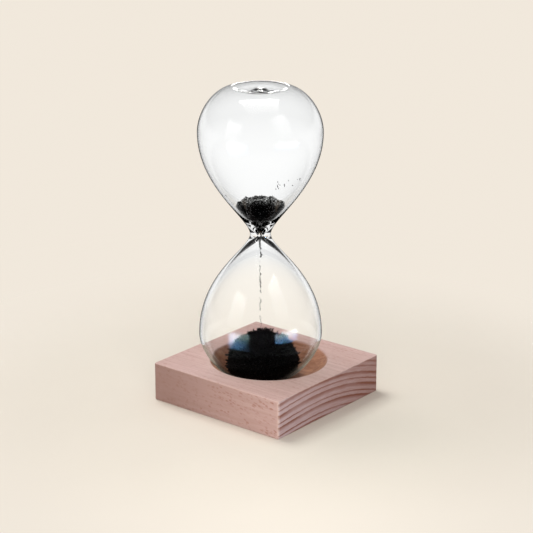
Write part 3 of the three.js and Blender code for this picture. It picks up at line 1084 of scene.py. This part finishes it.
def stream_tree():
    """Grains that fall along a path: close together at its top, in broken clumps further down."""
    sizes = dict.fromkeys(("Spread", "Sway", "Grain", "Breaks Below"), "Float")
    nodes, given, result = geometry_group("Falling Grains", {"Count": "Int", **sizes})
    path = nodes.out("GeometryNodeMeshToCurve", "Curve", {"Mesh": given["Geometry"]})
    inputs = {"Curve": path, "Count": given["Count"]}
    points = nodes.out("GeometryNodeCurveToPoints", "Points", inputs, mode="COUNT")
    place = nodes.out("GeometryNodeInputPosition", "Position")
    drift = nodes.vector("SUBTRACT", nodes.cloud(place, 210.0, 1.0, "Color"), (0.5, 0.5, 0.5))
    sway = nodes.scaled(nodes.vector("MULTIPLY", drift, (1.0, 1.0, 0.0)), given["Sway"])
    draw = random_vector(nodes, (-1.0, -1.0, 0.0), (1.0, 1.0, 0.0), nodes.plus(given["Seed"], 2.0))
    moved = {"Geometry": points, "Offset": nodes.vector("ADD", sway, nodes.scaled(draw, given["Spread"]))}
    clump = nodes.cloud(place, 420.0, 2.0)
    kept = {0: more_than(nodes, clump, 0.49), 1: higher_than(nodes, given["Breaks Below"])}
    finer = nodes.ease(nodes.part(place, "Z"), STREAM_LOW.z, given["Breaks Below"], 0.4, 1.0)
    uneven = random_vector(nodes, (0.5, 0.5, 0.5), (1.2, 1.0, 1.0), given["Seed"])
    inputs = {
        "Points": nodes.out("GeometryNodeSetPosition", "Geometry", moved),
        "Selection": nodes.out("FunctionNodeBooleanMath", "Boolean", kept, operation="OR"),
        "Instance": shard(nodes, given["Grain"]),
        "Rotation": random_turn(nodes, 3.0, given["Seed"]),
        "Scale": nodes.scaled(uneven, finer),
    }
    grains = nodes.out("GeometryNodeInstanceOnPoints", "Instances", inputs)
    seal(nodes, result, given["Material"], grains)
    return nodes.tree


class HOURGLASS_OT_waiting_filings(bpy.types.Operator):
    """Makes the filings that still lie in the upper bulb: a plug in the flare under a rough mound"""

    bl_idname = "hourglass.waiting_filings"
    bl_label = "Waiting Filings"

    def execute(self, context):
        iron = settings("filings")
        wall = inner_outline(settings("glass"), iron.mound_gap, upper=True)
        low = WAITING_LOW.z - NECK.z
        high = WAITING_HIGH.z - NECK.z
        edge_height = high - iron.mound_drop
        top = high - iron.mound_cover
        steps = 14
        heights = [low + (edge_height - low) * step / steps for step in range(steps + 1)]
        side = [(radius_at(wall, height), height) for height in heights]
        edge = side[-1]
        bulge = (0.99 * edge[0], edge[1] + iron.mound_bulge)
        mound = bezier(edge, bulge, (0.6 * edge[0], top), (0, top), steps)
        profile = [(0, low)] + side + mound[1:]
        rings = turned([(radius, NECK.z + height) for radius, height in profile], NECK, 72)
        coarse, fine = 260, 640  # lumps to the metre
        for ring in rings[len(side) + 1 :]:
            for point in ring:
                lump = noise.noise(point * coarse) + 0.6 * noise.noise(point * fine)
                point.z += iron.mound_lumps * lump
        mesh = skin("waiting_filings", [rings])
        backward = -heading(iron.shaded_side, 0.0)
        behind = [(corner.co - NECK).dot(backward) / edge[0] for corner in mesh.vertices]
        # Painted glints: grains are painted bright at the back and in the middle, and less and less towards
        # the shaded edge
        store(mesh, "shine", [min(max(1.5 * part + 1.2, 0.0), 1.1) for part in behind])
        values = {
            "Density": iron.mound_grains,
            "Grain": 1.5 * iron.grain,
            "Lowest": NECK.z + edge_height + 0.3 * MM,
            "Keep Surface": True,
        }
        mesh = grow_iron(mesh, grain_tree(), values)
        finish_piece("waiting_filings", mesh, "filings", "iron_filings", "upper_filings")
        return {"FINISHED"}


class HOURGLASS_OT_falling_filings(bpy.types.Operator):
    """Makes the stream of filings that falls from the neck to the heap"""

    bl_idname = "hourglass.falling_filings"
    bl_label = "Falling Filings"

    def execute(self, context):
        iron = settings("filings")
        path = bpy.data.meshes.new("falling_filings")
        ends = [(NECK.x, NECK.y, STREAM_HIGH.z), (NECK.x, NECK.y, STREAM_LOW.z)]
        path.from_pydata(ends, [(0, 1)], [])
        values = {
            "Count": iron.stream_grains,
            "Spread": iron.stream_spread,
            "Sway": iron.stream_sway,
            "Grain": iron.grain,
            "Breaks Below": NECK.z - iron.stream_solid,
        }
        mesh = grow_iron(path, stream_tree(), values)
        finish_piece("falling_filings", mesh, "filings", "iron_filings", "filings_stream")
        return {"FINISHED"}


class HOURGLASS_OT_magnet_heap(bpy.types.Operator):
    """Makes the fallen filings, which the magnet draws up into a heap of spikes"""

    bl_idname = "hourglass.magnet_heap"
    bl_label = "Magnet Heap"

    def execute(self, context):
        iron = settings("filings")
        wall = inner_outline(settings("glass"), iron.heap_gap)

        def above_glass(point):
            return max(point.z, NECK.z - floor_at(wall, from_axis(point, NECK)))

        middle = HEAP_HIGH.z - iron.heap_cover - iron.heap_rise
        steps = 48
        turns = [math.pi * (step / steps - 0.5) for step in range(1, steps)]
        profile = [(0, middle - iron.heap_rise)]
        profile += [(iron.heap_radius * math.cos(a), middle + iron.heap_rise * math.sin(a)) for a in turns]
        profile.append((0, middle + iron.heap_rise))
        rings = turned(profile, HEAP, 96)
        lumpy = 300  # lumps to the metre
        for ring in rings:
            for point in ring:
                point.z += iron.heap_lumps * noise.noise(point * lumpy)
                point.z = above_glass(point)
        values = {
            "Spacing": iron.spike_spacing,
            "Spike Radius": iron.spike_radius,
            "Spike Length": iron.spike_length,
            "Lean": iron.spike_lean,
            "Lowest": middle - iron.spike_reach,
        }
        mesh = grow_iron(skin("magnet_heap", [rings]), spike_tree(), values)
        for corner in mesh.vertices:
            corner.co.z = above_glass(corner.co)
        finish_piece("magnet_heap", mesh, "filings", "iron_filings", "lower_filings")
        return {"FINISHED"}


class HOURGLASS_OT_stray_grains(bpy.types.Operator):
    """Scatters the few grains that cling to the wall of the upper bulb"""

    bl_idname = "hourglass.stray_grains"
    bl_label = "Stray Grains"

    def execute(self, context):
        iron = settings("filings")
        wall = inner_outline(settings("glass"), iron.stray_gap, upper=True)
        rows, columns = 4, 8
        patches = []
        # Each patch's middle and width round the axis, and its lowest and highest level above the neck
        for middle, width, low, high in (
            (math.radians(-17), 0.62, 29.0 * MM, 34.0 * MM),
            (math.radians(-118), 0.5, 17.0 * MM, 23.0 * MM),
        ):
            turns = [middle + width * (column / columns - 0.5) for column in range(columns + 1)]
            patch = []
            for row in range(rows + 1):
                height = low + (high - low) * row / rows
                radius = radius_at(wall, height)
                patch.append([around(NECK, radius, turn, NECK.z + height) for turn in turns])
            patches.append(patch)
        values = {
            "Density": iron.stray_grains,
            "Grain": 1.1 * iron.grain,
            "Lowest": NECK.z,
            "Keep Surface": False,
            "Seed": iron.seed + 4,
        }
        mesh = grow_iron(patch_mesh("stray_grains", patches), grain_tree(), values)
        finish_piece("stray_grains", mesh, "glass", "iron_filings")
        return {"FINISHED"}


# Studio


def floor_material(studio):
    """Cream paper: lit round the object, where its shadow falls, then even, then faded out."""
    material, nodes, shader = new_material("studio_paper")
    reach = studio.floor_radius
    place = nodes.out("ShaderNodeTexCoord", "Object")
    away = nodes.out("ShaderNodeVectorMath", "Value", {0: place}, operation="LENGTH")
    rays = nodes.add("ShaderNodeLightPath").outputs
    through_glass = rays["Is Transmission Ray"]

    def beyond(start, end):
        return nodes.ease(away, start * reach, end * reach)

    mottle = speckle(nodes, (0.02, 0.02, 0.02), 0.4, 2.0)
    paler, darker = (tuple(level * part for part in studio.backdrop) for level in (0.86, 0.84))
    tint = nodes.mix(mottle, paler, darker)
    nodes.feed(shader, {"Base Color": tint, "Roughness": 0.9, "Specular IOR Level": 0.0})
    white = nodes.mix(beyond(0.6, 1.0), (1.0, 0.945, 0.87), (0.94, 0.94, 0.93))
    glow = nodes.mix(nodes.times(through_glass, beyond(0.1, 0.8)), studio.backdrop, white)
    even = nodes.out("ShaderNodeEmission", "Emission", {"Color": glow, "Strength": 1.0})
    spread = nodes.maths("MAXIMUM", beyond(0.3, 0.7), nodes.times(through_glass, beyond(0.17, 0.3)))
    paper = nodes.either(spread, shader.outputs["BSDF"], even)
    gone = nodes.out("ShaderNodeBsdfTransparent", "BSDF")
    hidden = nodes.maths("MAXIMUM", beyond(0.93, 1.0), nodes.maths("MINIMUM", rays["Glossy Depth"], 1.0))
    set_surface(nodes, nodes.either(hidden, paper, gone))
    return material


def build_world(studio):
    """Cream paper behind the object, white seen through glass, and even light all round."""
    world = bpy.data.worlds.new("studio")
    world.use_nodes = True
    world.node_tree.nodes.clear()
    nodes = Nodes(world.node_tree)
    rays = nodes.add("ShaderNodeLightPath").outputs
    direct = nodes.maths("LESS_THAN", rays["Diffuse Depth"], 0.5)
    clear = nodes.times(rays["Is Transmission Ray"], direct)
    bounced = nodes.times(rays["Is Glossy Ray"], rays["Is Reflection Ray"])
    height = nodes.part(nodes.out("ShaderNodeTexCoord", "Generated"), "Z")

    def glow(tint, strength=1.0):
        inputs = {"Color": opaque(tint), "Strength": strength}
        return nodes.out("ShaderNodeBackground", "Background", inputs)

    dark = nodes.maths("MAXIMUM", nodes.ease(height, 0.0, 0.1), nodes.ease(height, -0.85, -0.5, 1.0, 0.0))
    band = nodes.times(nodes.ease(height, -0.27, -0.235), nodes.ease(height, -0.2, -0.17, 1.0, 0.0))
    through = nodes.mix(dark, nodes.mix(band, WHITE, (0.88, 0.88, 0.88)), (0.006, 0.006, 0.006))
    shine = nodes.mix(nodes.ease(height, -0.25, 0.0), (0.01, 0.01, 0.01), (0.7, 0.7, 0.7))
    light = glow(LAMPLIGHT, studio.ambient)
    for ray, seen in (
        (clear, glow(through)),
        (bounced, glow(shine)),
        (rays["Is Camera Ray"], glow(studio.backdrop)),
    ):
        light = nodes.either(ray, light, seen)
    nodes.add("ShaderNodeOutputWorld", {"Surface": light})
    return world


def add_lamp(name, place, width, depth, power):
    """A soft rectangle that faces the object and lights it, but isn't seen itself."""
    data = bpy.data.lights.new(name, "AREA")
    data.shape = "RECTANGLE"
    data.size = width
    data.size_y = depth
    data.energy = power
    data.color = LAMPLIGHT
    lamp = bpy.data.objects.new(name, data)
    lamp.location = place
    lamp.rotation_euler = (place - NECK).to_track_quat("Z", "Y").to_euler()
    lamp.visible_camera = False
    lamp.visible_glossy = False
    lamp.visible_transmission = False
    bpy.context.scene.collection.objects.link(lamp)
    return lamp


def make_window(lamp, foot, head, right):
    """Makes a lamp one that only the glass mirrors, tinted from foot to head and dimmer to the right."""
    lamp.visible_diffuse = False
    lamp.visible_glossy = True
    lamp.light_linking.receiver_collection = mirror_collection()
    lamp.data.use_nodes = True
    nodes = Nodes(lamp.data.node_tree)
    first = nodes.maths("LESS_THAN", nodes.out("ShaderNodeLightPath", "Ray Depth"), 2.5)
    spot = nodes.out("ShaderNodeNewGeometry", "Parametric")
    across, upward = nodes.part(spot, "X"), nodes.part(spot, "Y")
    tint = nodes.mix(nodes.ease(upward, 0.45, 1.0), foot, head)
    fall = nodes.times(nodes.ease(across, 0.0, 1.0, 1.0, right), nodes.ease(upward, -0.2, 0.4))
    nodes.feed(nodes.tree.nodes["Emission"], {"Color": tint, "Strength": nodes.times(first, fall)})


# Each lamp's degrees round from the camera and above the table, distance, width, height and watts
LAMPS = {
    "key": (-135, 62, 1.0, 0.5, 0.5, 6.8),
    "front_fill": (4, 0, 0.3, 0.12, 0.12, 0.42),
    "overhead": (10, 84, 1.1, 0.9, 1.0, 120.0),
    "back_panel": (180, 9, 0.9, 0.14, 0.16, 0.8),
    "left_window_high": (-52, 20, 0.9, 0.45, 0.55, 27.0),
    "right_window_high": (45, 31, 0.9, 0.45, 0.7, 34.0),
    "left_window_low": (-40, -13, 0.9, 0.6, 0.3, 170.0),
    "right_window_low": (49, -8.5, 0.9, 0.7, 0.19, 130.0),
}

# Lamps that only the glass mirrors: tints at the foot and the head, and strength at the right edge
WINDOWS = {
    "overhead": (GREY, WHITE, 1.0),
    "back_panel": (WHITE, WHITE, 1.0),
    "left_window_high": (GREY, WHITE, 1.0),
    "right_window_high": (GREY, WHITE, 1.0),
    "left_window_low": (DUSK, SKY, 0.2),
    "right_window_low": (DUSK, SKY, 0.6),
}


def add_camera(studio):
    data = bpy.data.cameras.new("camera")
    data.sensor_width = 36.0
    data.lens = studio.lens
    data.shift_y = studio.shift
    data.clip_start = 0.01
    camera = bpy.data.objects.new("camera", data)
    back = heading(studio.azimuth, studio.elevation)
    camera.location = Vector((0, 0, studio.target_height)) + studio.distance * back
    camera.rotation_euler = back.to_track_quat("Z", "Y").to_euler()
    bpy.context.scene.collection.objects.link(camera)
    return camera


def add_floor(studio):
    profile = [(part * studio.floor_radius, 0) for part in (1, 0.5, 0)]
    mesh = skin("floor", [turned(profile, Vector((0, 0, 0)), 96)])
    mesh.materials.append(floor_material(studio))
    floor = bpy.data.objects.new("floor", mesh)
    floor.visible_glossy = False
    bpy.context.scene.collection.objects.link(floor)


class HOURGLASS_OT_studio(bpy.types.Operator):
    """Makes the camera, the pale floor, the world and the soft lamps"""

    bl_idname = "hourglass.studio"
    bl_label = "Studio"

    def execute(self, context):
        studio = settings("studio")
        scene = context.scene
        scene.view_settings.view_transform = "Standard"
        scene.world = build_world(studio)
        scene.camera = add_camera(studio)
        add_floor(studio)
        for name, (side, height, distance, width, depth, power) in LAMPS.items():
            way = heading(studio.azimuth + math.radians(side), math.radians(height))
            lamp = add_lamp(name, NECK + distance * way, width, depth, power)
            if name in WINDOWS:
                make_window(lamp, *WINDOWS[name])
        return {"FINISHED"}


class HOURGLASS_PT_pieces(bpy.types.Panel):
    """Lists the operators that build the hourglass"""

    bl_idname = "HOURGLASS_PT_pieces"
    bl_label = "Magnetic Hourglass"
    bl_space_type = "VIEW_3D"
    bl_region_type = "UI"
    bl_category = "Hourglass"

    def draw(self, context):
        for operator in OPERATORS:
            self.layout.operator(operator.bl_idname)


SETTINGS = {
    "beech": BeechSettings,
    "glass": GlassSettings,
    "filings": FilingsSettings,
    "studio": StudioSettings,
}

OPERATORS = (
    HOURGLASS_OT_studio,
    HOURGLASS_OT_beech_block,
    HOURGLASS_OT_magnet,
    HOURGLASS_OT_glass,
    HOURGLASS_OT_waiting_filings,
    HOURGLASS_OT_falling_filings,
    HOURGLASS_OT_magnet_heap,
    HOURGLASS_OT_stray_grains,
)


def register():
    for name, group in SETTINGS.items():
        bpy.utils.register_class(group)
        setattr(bpy.types.Scene, "hourglass_" + name, PointerProperty(type=group))
    for operator in OPERATORS:
        bpy.utils.register_class(operator)
    bpy.utils.register_class(HOURGLASS_PT_pieces)


def unregister():
    bpy.utils.unregister_class(HOURGLASS_PT_pieces)
    for operator in reversed(OPERATORS):
        bpy.utils.unregister_class(operator)
    for name, group in SETTINGS.items():
        delattr(bpy.types.Scene, "hourglass_" + name)
        bpy.utils.unregister_class(group)


def main():
    register()
    bpy.ops.hourglass.studio()
    bpy.ops.hourglass.beech_block()
    bpy.ops.hourglass.magnet()
    bpy.ops.hourglass.glass()
    bpy.ops.hourglass.waiting_filings()
    bpy.ops.hourglass.falling_filings()
    bpy.ops.hourglass.magnet_heap()
    bpy.ops.hourglass.stray_grains()


if __name__ == "__main__":
    main()
